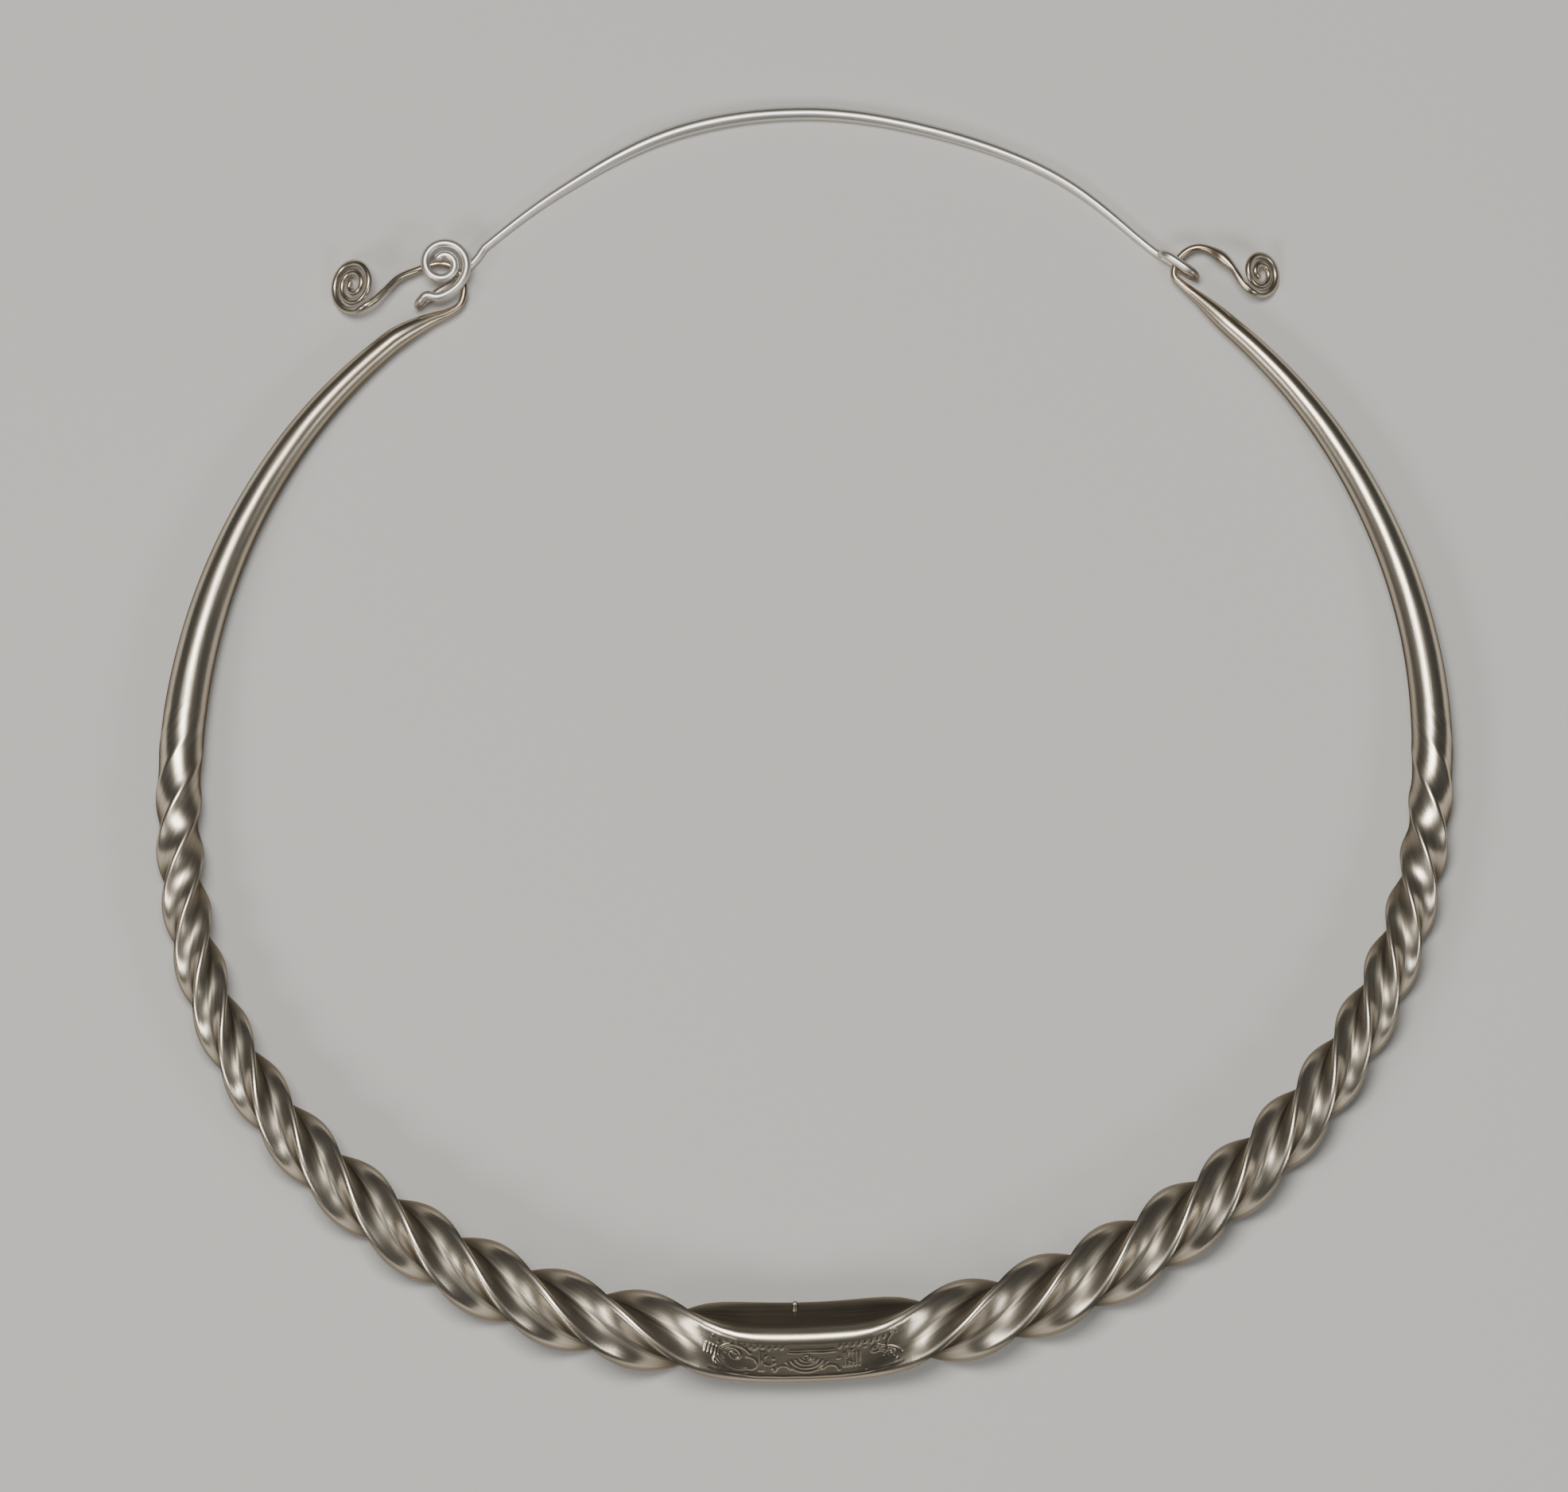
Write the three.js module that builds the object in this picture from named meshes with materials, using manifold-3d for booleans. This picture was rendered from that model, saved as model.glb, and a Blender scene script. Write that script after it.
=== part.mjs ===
// A silver neck torc, in millimetres, +Z up, lying as it does when it is taken off.
// The ring is one bar: round limbs at the back, drawn out to a hooked coil at each end, and a
// four-ridged bar in front, twisted both ways from an untwisted panel that faces -Y. A separate
// link of bent wire closes the back. It hooks round both necks and can be lifted away.
import * as THREE from 'three';
import { mergeVertices } from 'three/addons/utils/BufferGeometryUtils.js';
import Module from 'manifold-3d';

const wasm = await Module();
wasm.setup();

// The bar in plan. Angles are in degrees round the ring, from the panel, + towards +X.
const STATION_STEP = 30;
const RIGHT_REACH = [90.0, 90.4, 92.1, 91.6, 89.0, 85.8]; // ring centre to the bar's middle
const LEFT_REACH = [90.0, 93.2, 95.6, 91.0, 86.8, 82.4];
const RIGHT_THICKNESS = [11.7, 11.6, 8.6, 6.1, 4.1, 2.0]; // ridge to ridge, or across the round
const LEFT_THICKNESS = [11.7, 11.3, 8.0, 6.5, 4.4, 2.4];
const LIMB_END = 134; // where the round limb runs on into its neck
const LEVEL_REACH = 76; // the front of the bar is level as far back as this
const PANEL_DROP = 0.15; // the panel lies lower than the twist, and carries the ring
const NECK_HEIGHT = 2.25; // of the necks' middle above the ground
const NECK_REACH = 66;

// The twist.
const TWIST_START = 3.2; // the panel is straight and even up to here
const TWIST_FULL = 12.5; // from here the bar turns at its full rate
const FIRST_QUARTER = 7.8; // degrees round the ring that a quarter turn takes near the panel
const LAST_QUARTER = 4.5; // and at the thin end of the twist
const TWIST_END = 92;
const ROUNDING = 8; // the ridges die away over this many degrees
const PANEL_RIDGE = 1.3; // width of the flattened ridges of the panel
const TWIST_RIDGE = 0.5;
const FACE_HOLLOW = 0.075; // depth of a twisted face, for each millimetre of thickness
const STEPS_A_QUARTER = 5;
const LIMB_STEP = 5;

// The terminals. The necks are drawn down to wire and hooked back, and end in coils that lean
// outwards. A neck's path is a few places that it passes through, from the limb to its coil.
const HOOK_WIRE = 1.15;
const COIL_TIP_WIRE = 0.95;
const NECK_TAPER = 12; // length over which a limb draws down to wire
const COIL_LEAN = 38; // degrees
const COIL_STEPS = 12; // a turn
const COIL_SINK = 0.012; // lowers both coils until they touch the ground
const RIGHT_NECK = [
  [58.1, 65.1, 2.3], [55.6, 67.2, 2.25], [54.4, 68.6, 2.2], [54.8, 70.6, 2.2],
  [56.2, 72.2, 2.25], [58.0, 72.8, 2.4], [60.0, 72.2, 2.75], [61.6, 71.0, 3.1],
  [62.9, 69.6, 3.4], [63.8, 68.1, 3.6], [64.7, 66.9, 3.6],
];
const LEFT_NECK = [
  [-55.4, 61.8, 2.35], [-52.5, 63.0, 2.25], [-50.9, 64.2, 2.2], [-50.3, 66.4, 2.2],
  [-50.8, 68.6, 2.2], [-52.2, 70.0, 2.2], [-54.0, 70.4, 2.2], [-57.0, 69.5, 2.25],
  [-60.0, 68.1, 2.85], [-62.1, 65.9, 3.6], [-63.5, 64.5, 3.95],
];
const RIGHT_COIL = { x: 67.1, y: 69.0, side: 1, radius: 3.4, pitch: 1.35, turns: 2.0 };
const LEFT_COIL = { x: -66.6, y: 67.1, side: -1, radius: 4.1, pitch: 1.4, turns: 2.4 };
const COIL_START = -120; // degrees: next to the limb, below the coil's middle
const RIGHT_FLARE = { at: 21.7, length: 1.6, height: 0.7 }; // a swelling where the wire was bent

// The peg that stands on the panel's inner face.
const PEG = { angle: -1, radius: 0.45, length: 2.0, root: 0.9, outward: -4.2, up: 1.6 };

// The back link, by degrees round the ring from the back, + towards +X.
const LINK_STEP = 12;
const LINK_FIRST = -36;
const LINK_REACH = [86.7, 89.3, 92.5, 93.4, 92.6, 91.6, 88.8];
const LINK_THICKNESS = [1.2, 1.55, 2.25, 2.15, 1.95, 1.6, 1.2];
const LINK_WIRE = 1.25; // at its ends, under the necks
const LINK_TOP_WIRE = 1.45; // where it has been turned back above itself
const LINK_ARC = [-33, 33];
const LINK_ARC_STEP = 3;
const LINK_CLEAR = 0.03; // of the ground, so that the ring itself rests on it
const LOOP_RADIUS = 1.6; // of the bends that go round the necks
const LOOP_HEIGHT = 2.3; // of their middle
const LEFT_STEM = [[-48.6, 71.4, 0.7], [-52.0, 68.1, 0.7]];
const LEFT_LOOP = { x: -55.9, y: 65.2, towards: [-0.745, -0.667] };
const LEFT_STRAND = [[-54.1, 65.0, 3.95], [-52.4, 65.7, 3.95], [-51.0, 66.9, 3.95]];
const LINK_COIL = { x: -53.4, y: 70.0, z: 3.95, radius: 3.6, pitch: 1.75, turns: 1.4, start: -22 };
const RIGHT_STEM = [[51.6, 72.5, 0.7], [53.7, 71.1, 0.7]];
const RIGHT_LOOP = { x: 56.2, y: 69.3, towards: [0.838, -0.546] };
const RIGHT_STRAND = [[54.7, 70.4, 3.85], [53.5, 71.2, 3.7], [52.7, 71.7, 3.1], [52.5, 71.8, 2.3]];

const PATH_STEP = 1.6; // between the sections of a bent wire
const BAR_SIDES = 16;
const WIRE_SIDES = 10;

const { clamp, degToRad, lerp, smoothstep } = THREE.MathUtils;

const BAR_REACH = [...LEFT_REACH.slice(1).reverse(), ...RIGHT_REACH];
const BAR_THICKNESS = [...LEFT_THICKNESS.slice(1).reverse(), ...RIGHT_THICKNESS];
const BAR_FIRST = -STATION_STEP * (LEFT_REACH.length - 1);
const PANEL_HEIGHT = RIGHT_THICKNESS[0] / 2;
const BAR_FALL = (PANEL_HEIGHT - NECK_HEIGHT) / (NECK_REACH + LEVEL_REACH);

// A smooth value between evenly spaced stations.
function between(values, first, step, angle) {
  const place = (angle - first) / step;
  const index = clamp(Math.floor(place), 0, values.length - 2);
  const part = place - index;
  const [a, b, c, d] = [-1, 0, 1, 2].map((k) => values[clamp(index + k, 0, values.length - 1)]);
  const bend = 2 * a - 5 * b + 4 * c - d;
  const swing = 3 * b - a - 3 * c + d;
  return b + 0.5 * (part * (c - a) + part ** 2 * bend + part ** 3 * swing);
}

// The bar's thickness, the same all along the straight panel.
function barThickness(angle) {
  const thickness = between(BAR_THICKNESS, BAR_FIRST, STATION_STEP, angle);
  const twisted = smoothstep(Math.abs(angle), TWIST_START, TWIST_FULL);
  return lerp(RIGHT_THICKNESS[0], thickness, twisted);
}

function barPoint(angle) {
  const reach = between(BAR_REACH, BAR_FIRST, STATION_STEP, angle);
  const y = -reach * Math.cos(degToRad(angle));
  const rise = PANEL_DROP * smoothstep(Math.abs(angle), TWIST_START, TWIST_FULL);
  const z = PANEL_HEIGHT + rise - BAR_FALL * Math.max(0, y + LEVEL_REACH);
  return new THREE.Vector3(reach * Math.sin(degToRad(angle)), y, z);
}

// Degrees round the ring that the bar takes to make a quarter turn.
function quarterLength(angle) {
  const along = (angle - TWIST_FULL) / (TWIST_END - TWIST_FULL);
  return lerp(FIRST_QUARTER, LAST_QUARTER, clamp(along, 0, 1));
}

// The angles of the sections of one half of the bar, from the panel's middle to the limb's end,
// each with the quarter turns that the bar has made by then.
function halfBar() {
  const stops = [{ angle: 0, quarters: 0 }];
  let { angle, quarters } = stops[0];
  while (angle < LIMB_END) {
    const quarter = quarterLength(angle);
    const step = angle < TWIST_END ? quarter / STEPS_A_QUARTER : LIMB_STEP;
    const next = Math.min(angle + step, LIMB_END);
    if (angle < TWIST_END) {
      const rate = smoothstep((angle + next) / 2, TWIST_START, TWIST_FULL) / quarter;
      quarters += rate * (next - angle);
    }
    angle = next;
    stops.push({ angle, quarters });
  }
  return stops;
}

function barStation(angle, quarters) {
  const away = Math.abs(angle);
  const thickness = barThickness(angle);
  const twisted = smoothstep(away, TWIST_START, TWIST_FULL);
  const roundness = smoothstep(away, TWIST_END - ROUNDING, TWIST_END + ROUNDING / 4);
  const ridge = lerp(PANEL_RIDGE, TWIST_RIDGE, twisted);
  const hollow = FACE_HOLLOW * thickness * twisted;
  return { point: barPoint(angle), thickness, roundness, ridge, hollow, turn: quarters * 90 };
}

function wireStation(point, thickness, turn = 0) {
  return { point, thickness, roundness: 1, ridge: 0, hollow: 0, turn };
}

// A flat coil, from its outer end inwards. Its plane leans, so that its outer side is lower.
function coilPoints(coil, lean, start) {
  const steps = Math.round(coil.turns * COIL_STEPS);
  const points = [];
  for (let i = 0; i <= steps; i += 1) {
    const turn = i / COIL_STEPS;
    const angle = degToRad(start + 360 * turn);
    const radius = coil.radius - coil.pitch * turn;
    const across = radius * Math.cos(angle);
    const x = coil.x + coil.side * across * Math.cos(degToRad(lean));
    const y = coil.y + radius * Math.sin(angle);
    points.push(new THREE.Vector3(x, y, coil.z - across * Math.sin(degToRad(lean))));
  }
  return points;
}

function places(list) {
  return list.map((place) => new THREE.Vector3(...place));
}

// Points along a smooth path: it runs through every given place, with some more between them
// where they are far apart.
function smoothPath(points, spacing) {
  const curve = new THREE.CatmullRomCurve3(points, false, 'centripetal');
  const path = [];
  for (let i = 0; i < points.length - 1; i += 1) {
    const parts = Math.max(1, Math.round(points[i].distanceTo(points[i + 1]) / spacing));
    for (let k = 0; k < parts; k += 1) {
      path.push(curve.getPoint((i + k / parts) / (points.length - 1)));
    }
  }
  path.push(points[points.length - 1]);
  return path;
}

// One drawn-out end of the bar, from the limb's last station to the inside of the coil.
function terminal(side, limbEnd, neck, coil, flare) {
  const lowest = (coil.radius + (coil.pitch * COIL_START) / 360) * Math.sin(degToRad(COIL_LEAN));
  const leaning = { ...coil, z: lowest + HOOK_WIRE / 2 - COIL_SINK };
  const limb = [-LIMB_STEP, 0].map((back) => barPoint(side * (LIMB_END + back)));
  const points = [...limb, ...places(neck), ...coilPoints(leaning, COIL_LEAN, COIL_START)];
  const path = smoothPath(points, PATH_STEP);
  const first = path.findIndex((point) => point.distanceTo(limb[1]) < 0.001);
  const coilLength = Math.PI * coil.turns * (2 * coil.radius - coil.pitch * coil.turns);
  const lengths = [0];
  for (let i = first + 1; i < path.length; i += 1) {
    lengths.push(lengths[lengths.length - 1] + path[i].distanceTo(path[i - 1]));
  }
  const whole = lengths[lengths.length - 1];
  return path.slice(first + 1).map((point, index) => {
    const run = lengths[index + 1];
    const drawn = lerp(limbEnd.thickness, HOOK_WIRE, smoothstep(run, 0, NECK_TAPER));
    const tip = smoothstep(run, whole - coilLength, whole) * (HOOK_WIRE - COIL_TIP_WIRE);
    const swelling = flare ? flare.height * Math.exp(-(((run - flare.at) / flare.length) ** 2)) : 0;
    return wireStation(point, drawn - tip + swelling, limbEnd.turn);
  });
}

// The outline of a section, as [out, up] across the bar. A square bar has four flattened ridges
// with a hollow face between each two, and a round one is a circle with the same points.
function outline({ thickness, roundness, ridge, hollow, turn }, sides) {
  const half = thickness / 2;
  const points = [];
  for (let i = 0; i < sides; i += 1) {
    const roundAngle = degToRad((360 * (i + 0.5)) / sides + turn);
    let across = half * Math.cos(roundAngle);
    let up = half * Math.sin(roundAngle);
    if (roundness < 1) {
      const place = (i % 4) / 3;
      const faceAngle = degToRad(90 * Math.floor(i / 4) + turn);
      const sunk = (i % 4) % 3 === 0 ? 0 : hollow * Math.SQRT1_2;
      const along = lerp(half, ridge / 2, place) - sunk;
      const over = lerp(ridge / 2, half, place) - sunk;
      const squareAcross = along * Math.cos(faceAngle) - over * Math.sin(faceAngle);
      const squareUp = along * Math.sin(faceAngle) + over * Math.cos(faceAngle);
      across = lerp(squareAcross, across, roundness);
      up = lerp(squareUp, up, roundness);
    }
    points.push([across, up]);
  }
  return points;
}

// The way up at every station, carried both ways from one of them without any twist of its own.
function carryUp(points, tangents, from, up) {
  const ups = [];
  ups[from] = up.clone().projectOnPlane(tangents[from]).normalize();
  const carry = (i, j) => {
    const chord = points[j].clone().sub(points[i]).normalize();
    const turned = ups[i].clone().reflect(chord);
    const tangent = tangents[i].clone().reflect(chord);
    const match = tangents[j].clone().sub(tangent).normalize();
    ups[j] = turned.reflect(match).projectOnPlane(tangents[j]).normalize();
  };
  for (let i = from; i < points.length - 1; i += 1) carry(i, i + 1);
  for (let i = from; i > 0; i -= 1) carry(i, i - 1);
  return ups;
}

// The distance between two corners in a list of coordinates.
function span(vertices, i, j) {
  return Math.hypot(...[0, 1, 2].map((k) => vertices[3 * i + k] - vertices[3 * j + k]));
}

// A closed skin through sections set across a path, with a small dome at each end. Each patch is
// split along its shorter diagonal, so that a twist to either hand is cut alike.
function sweep(stations, sides, from) {
  const points = stations.map((station) => station.point);
  const last = points.length - 1;
  const tangents = points.map((point, i) => (
    points[Math.min(i + 1, last)].clone().sub(points[Math.max(i - 1, 0)]).normalize()
  ));
  const ups = carryUp(points, tangents, from, new THREE.Vector3(0, 0, 1));
  const vertices = [];
  const addRing = (i, shift, scale) => {
    const out = tangents[i].clone().cross(ups[i]);
    const middle = points[i].clone().addScaledVector(tangents[i], shift);
    outline(stations[i], sides).forEach(([across, up]) => {
      const vertex = middle.clone();
      vertex.addScaledVector(out, across * scale);
      vertex.addScaledVector(ups[i], up * scale);
      vertices.push(vertex.x, vertex.y, vertex.z);
    });
  };
  const dome = (i) => stations[i].thickness * 0.3;
  addRing(0, -dome(0), 0.6);
  stations.forEach((station, i) => addRing(i, 0, 1));
  addRing(last, dome(last), 0.6);
  const rings = stations.length + 2;
  const startTip = points[0].clone().addScaledVector(tangents[0], -1.4 * dome(0));
  const endTip = points[last].clone().addScaledVector(tangents[last], 1.4 * dome(last));
  vertices.push(...startTip.toArray(), ...endTip.toArray());
  const faces = [];
  for (let k = 0; k < sides; k += 1) {
    const next = (k + 1) % sides;
    for (let r = 0; r < rings - 1; r += 1) {
      const [a, b] = [r * sides + k, r * sides + next];
      const [c, d] = [a + sides, b + sides];
      if (span(vertices, a, d) <= span(vertices, b, c)) faces.push(a, d, b, a, c, d);
      else faces.push(a, c, b, b, c, d);
    }
    faces.push(rings * sides, k, next);
    faces.push(rings * sides + 1, (rings - 1) * sides + next, (rings - 1) * sides + k);
  }
  const geometry = new THREE.BufferGeometry();
  geometry.setAttribute('position', new THREE.Float32BufferAttribute(vertices, 3));
  geometry.setIndex(faces);
  return geometry;
}

function toSolid(geometry) {
  const bare = geometry.clone();
  bare.deleteAttribute('normal');
  bare.deleteAttribute('uv');
  const merged = mergeVertices(bare);
  const vertProperties = new Float32Array(merged.attributes.position.array);
  const triVerts = new Uint32Array(merged.index.array);
  return new wasm.Manifold(new wasm.Mesh({ numProp: 3, vertProperties, triVerts }));
}

function fromSolid(solid) {
  const { vertProperties, triVerts } = solid.getMesh();
  const geometry = new THREE.BufferGeometry();
  geometry.setAttribute('position', new THREE.BufferAttribute(vertProperties, 3));
  geometry.setIndex(new THREE.BufferAttribute(triVerts, 1));
  return geometry;
}

// A short peg square to the panel's inner face, near its back edge.
function pegGeometry() {
  const geometry = new THREE.CylinderGeometry(PEG.radius, PEG.radius, PEG.length + PEG.root, 12);
  geometry.translate(0, (PEG.length - PEG.root) / 2, 0);
  const outward = barPoint(PEG.angle).setZ(0).normalize();
  const inwardUp = outward.clone().negate().setZ(1).normalize();
  geometry.applyQuaternion(
    new THREE.Quaternion().setFromUnitVectors(new THREE.Vector3(0, 1, 0), inwardUp),
  );
  const foot = barPoint(PEG.angle).addScaledVector(outward, PEG.outward);
  geometry.translate(foot.x, foot.y, foot.z + PEG.up);
  return geometry;
}

function torcGeometry() {
  const half = halfBar();
  const right = half.map(({ angle, quarters }) => barStation(angle, quarters));
  const left = half.slice(1).map(({ angle, quarters }) => barStation(-angle, quarters));
  const rightEnd = terminal(1, right[right.length - 1], RIGHT_NECK, RIGHT_COIL, RIGHT_FLARE);
  const leftEnd = terminal(-1, left[left.length - 1], LEFT_NECK, LEFT_COIL, null);
  const leftHalf = [...left, ...leftEnd].reverse();
  const bar = sweep([...leftHalf, ...right, ...rightEnd], BAR_SIDES, leftHalf.length);
  return fromSolid(toSolid(bar).add(toSolid(pegGeometry())));
}

// A half circle that stands upright and turns a wire back above itself, from below to above.
function loopBack(loop) {
  const [x, y] = loop.towards;
  const points = [];
  for (let angle = -90; angle <= 90; angle += 30) {
    const reach = LOOP_RADIUS * Math.cos(degToRad(angle));
    const rise = LOOP_RADIUS * Math.sin(degToRad(angle));
    points.push(new THREE.Vector3(loop.x + reach * x, loop.y + reach * y, LOOP_HEIGHT + rise));
  }
  return points;
}

function linkGeometry() {
  const arc = [];
  for (let angle = LINK_ARC[0]; angle <= LINK_ARC[1]; angle += LINK_ARC_STEP) {
    const reach = between(LINK_REACH, LINK_FIRST, LINK_STEP, angle);
    const thickness = between(LINK_THICKNESS, LINK_FIRST, LINK_STEP, angle);
    const [x, y] = [reach * Math.sin(degToRad(angle)), reach * Math.cos(degToRad(angle))];
    arc.push(wireStation(new THREE.Vector3(x, y, thickness / 2 + LINK_CLEAR), thickness));
  }
  const coil = coilPoints({ ...LINK_COIL, side: 1 }, 0, LINK_COIL.start);
  const leftPlaces = [...places(LEFT_STEM), ...loopBack(LEFT_LOOP), ...places(LEFT_STRAND), ...coil];
  const rightPlaces = [...places(RIGHT_STEM), ...loopBack(RIGHT_LOOP), ...places(RIGHT_STRAND)];
  const endOf = (start, list) => smoothPath([start, ...list], PATH_STEP).slice(1);
  const left = endOf(arc[0].point, leftPlaces);
  const right = endOf(arc[arc.length - 1].point, rightPlaces);
  const wire = (point) => {
    const above = smoothstep(point.z, LOOP_HEIGHT, LOOP_HEIGHT + LOOP_RADIUS);
    return wireStation(point, lerp(LINK_WIRE, LINK_TOP_WIRE, above));
  };
  const stations = [...left.reverse().map(wire), ...arc, ...right.map(wire)];
  return sweep(stations, WIRE_SIDES, left.length);
}

const torcSilver = new THREE.MeshStandardMaterial({
  color: 0xb9b2a6, roughness: 0.34, metalness: 1, flatShading: true,
});
const linkSilver = new THREE.MeshStandardMaterial({
  color: 0xc9c5bd, roughness: 0.28, metalness: 1, flatShading: true,
});

const torc = new THREE.Mesh(torcGeometry(), torcSilver);
torc.name = 'torc';
const link = new THREE.Mesh(linkGeometry(), linkSilver);
link.name = 'back_link';

// The origin is under the middle of the whole, on the ground.
const whole = new THREE.Group();
const parts = new THREE.Group();
parts.add(torc, link);
const box = new THREE.Box3().setFromObject(parts, true);
const middle = box.getCenter(new THREE.Vector3());
parts.position.set(-middle.x, -middle.y, -box.min.z);
whole.add(parts);

export default whole;
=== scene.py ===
"""A silver neck torc and its loose back link, lying flat, in metres.

The bar and the link are swept along their paths by one Geometry Nodes tree. The panel's face is
then engraved in its mesh.
"""

import math

import bmesh
import bpy
import numpy as np
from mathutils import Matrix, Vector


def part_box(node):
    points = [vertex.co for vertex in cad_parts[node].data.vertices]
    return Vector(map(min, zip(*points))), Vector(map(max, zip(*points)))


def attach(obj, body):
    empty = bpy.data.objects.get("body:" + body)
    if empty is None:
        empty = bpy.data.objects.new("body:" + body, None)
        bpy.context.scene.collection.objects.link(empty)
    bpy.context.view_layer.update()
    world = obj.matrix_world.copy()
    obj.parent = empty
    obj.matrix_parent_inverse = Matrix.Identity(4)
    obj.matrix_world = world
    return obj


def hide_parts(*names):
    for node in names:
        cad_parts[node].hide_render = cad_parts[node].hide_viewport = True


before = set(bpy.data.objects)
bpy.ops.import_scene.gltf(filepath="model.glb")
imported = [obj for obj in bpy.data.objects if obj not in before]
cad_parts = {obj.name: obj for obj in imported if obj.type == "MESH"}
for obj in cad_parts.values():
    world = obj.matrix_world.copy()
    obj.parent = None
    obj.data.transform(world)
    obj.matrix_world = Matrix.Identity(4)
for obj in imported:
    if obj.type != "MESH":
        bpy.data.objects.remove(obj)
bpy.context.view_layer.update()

MM = 0.001

# The bar in plan, by degrees round the ring from the panel, + towards +X. Lengths in millimetres.
STATION_STEP = 30.0
RIGHT_REACH = [90.0, 90.4, 92.1, 91.6, 89.0, 85.8]
LEFT_REACH = [90.0, 93.2, 95.6, 91.0, 86.8, 82.4]
RIGHT_THICKNESS = [11.7, 11.6, 8.6, 6.1, 4.1, 2.0]
LEFT_THICKNESS = [11.7, 11.3, 8.0, 6.5, 4.4, 2.4]
LIMB_END = 134.0
LEVEL_REACH = 76.0
PANEL_DROP = 0.15
NECK_HEIGHT = 2.25
NECK_REACH = 66.0
TRIM = 0.997  # the finished surface lies this little inside the solid's ridges
WIRE_TRIM = 0.965  # round wires are drawn in further, to stay inside the solid's box
RING_RADIUS = 91.0  # turns a length along the ring into degrees

# The twist.
TWIST_START = 3.2
TWIST_FULL = 12.5
FIRST_QUARTER = 7.8
LAST_QUARTER = 4.5
TWIST_END = 92.0
TWIST_FADE = (68.0, 93.0)  # where the ridges die away into the round limb
CREASE_RISE = (8.0, 15.0)
CREASE_FADE = (58.0, 84.0)
PANEL_MARK_FADE = (6.0, 14.0)
PANEL_RIDGE = 1.3
TWIST_RIDGE = 0.5
FACE_HOLLOW = 0.075
STEPS_A_QUARTER = 5

# The terminals.
HOOK_WIRE = 1.15
COIL_TIP_WIRE = 0.95
NECK_TAPER = 12.0
NECK_LEAD = 5.0  # degrees of limb that guide the start of the neck
NECK_BROWN = 0.3
BROWN_START = 112.0
NECK_STAIN = dict(at=13.0, length=6.0, height=0.3)
COIL_CLEANING = (18.0, 30.0)
COIL_CLEANED = 0.25
COIL_LEAN = 38.0
COIL_STEPS = 12
COIL_SINK = 0.012
COIL_START = -120.0
RIGHT_NECK = [
    (58.1, 65.1, 2.3), (55.6, 67.2, 2.25), (54.4, 68.6, 2.2), (54.8, 70.6, 2.2),
    (56.2, 72.2, 2.25), (58.0, 72.8, 2.4), (60.0, 72.2, 2.75), (61.6, 71.0, 3.1),
    (62.9, 69.6, 3.4), (63.8, 68.1, 3.6), (64.7, 66.9, 3.6),
]
LEFT_NECK = [
    (-55.4, 61.8, 2.35), (-52.5, 63.0, 2.25), (-50.9, 64.2, 2.2), (-50.3, 66.4, 2.2),
    (-50.8, 68.6, 2.2), (-52.2, 70.0, 2.2), (-54.0, 70.4, 2.2), (-57.0, 69.5, 2.25),
    (-60.0, 68.1, 2.85), (-62.1, 65.9, 3.6), (-63.5, 64.5, 3.95),
]
RIGHT_COIL = dict(x=67.1, y=69.0, side=1, radius=3.4, pitch=1.35, turns=2.0)
LEFT_COIL = dict(x=-66.6, y=67.1, side=-1, radius=4.1, pitch=1.4, turns=2.4)
RIGHT_FLARE = dict(at=21.7, length=1.6, height=0.7)

# The back link, by degrees round the ring from the back, + towards +X.
LINK_STEP = 12.0
LINK_FIRST = -36.0
LINK_REACH = [86.7, 89.3, 92.5, 93.4, 92.6, 91.6, 88.8]
LINK_THICKNESS = [1.2, 1.55, 2.25, 2.15, 1.95, 1.6, 1.2]
LINK_WIRE = 1.25
LINK_TOP_WIRE = 1.45
LINK_END = 33.0
LINK_CLEAR = 0.03
LINK_ARC_STEP = 0.25
LINK_STAIN = dict(at=10.5, length=4.5, height=0.9)
LOOP_RADIUS = 1.6
LOOP_HEIGHT = 2.3
LEFT_STEM = [(-48.6, 71.4, 0.7), (-52.0, 68.1, 0.7)]
LEFT_LOOP = dict(x=-55.9, y=65.2, towards=(-0.745, -0.667))
LEFT_STRAND = [(-54.1, 65.0, 3.95), (-52.4, 65.7, 3.95), (-51.0, 66.9, 3.95)]
LINK_COIL = dict(x=-53.4, y=70.0, z=3.95, side=1, radius=3.6, pitch=1.75, turns=1.4)
LINK_COIL_START = -22.0
RIGHT_STEM = [(51.6, 72.5, 0.7), (53.7, 71.1, 0.7)]
RIGHT_LOOP = dict(x=56.2, y=69.3, towards=(0.838, -0.546))
RIGHT_STRAND = [(54.7, 70.4, 3.85), (53.5, 71.2, 3.7), (52.7, 71.7, 3.1), (52.5, 71.8, 2.3)]

# How finely the surfaces are made.
PANEL_REACH = 11.0  # degrees each way that are made finely enough to engrave
PANEL_STEP = 0.5
TWIST_STEP = 0.56
TWIST_FINE_END = 95.0
LIMB_STEP = 1.3
WIRE_STEP = 0.3
DOME_HEIGHT = 0.7
DOME_TIP = 0.02
DOME_ANGLES = (18, 36, 52, 66, 78, 88)
BAR_SIDES = 64
LINK_SIDES = 24
ENGRAVING_CUTS = 4

BAR_REACH = LEFT_REACH[:0:-1] + RIGHT_REACH
BAR_THICKNESS = LEFT_THICKNESS[:0:-1] + RIGHT_THICKNESS
BAR_FIRST = -STATION_STEP * (len(LEFT_REACH) - 1)
PANEL_HEIGHT = RIGHT_THICKNESS[0] / 2
BAR_FALL = (PANEL_HEIGHT - NECK_HEIGHT) / (NECK_REACH + LEVEL_REACH)


# ---- The rules that the paths follow -------------------------------------------------------

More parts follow.
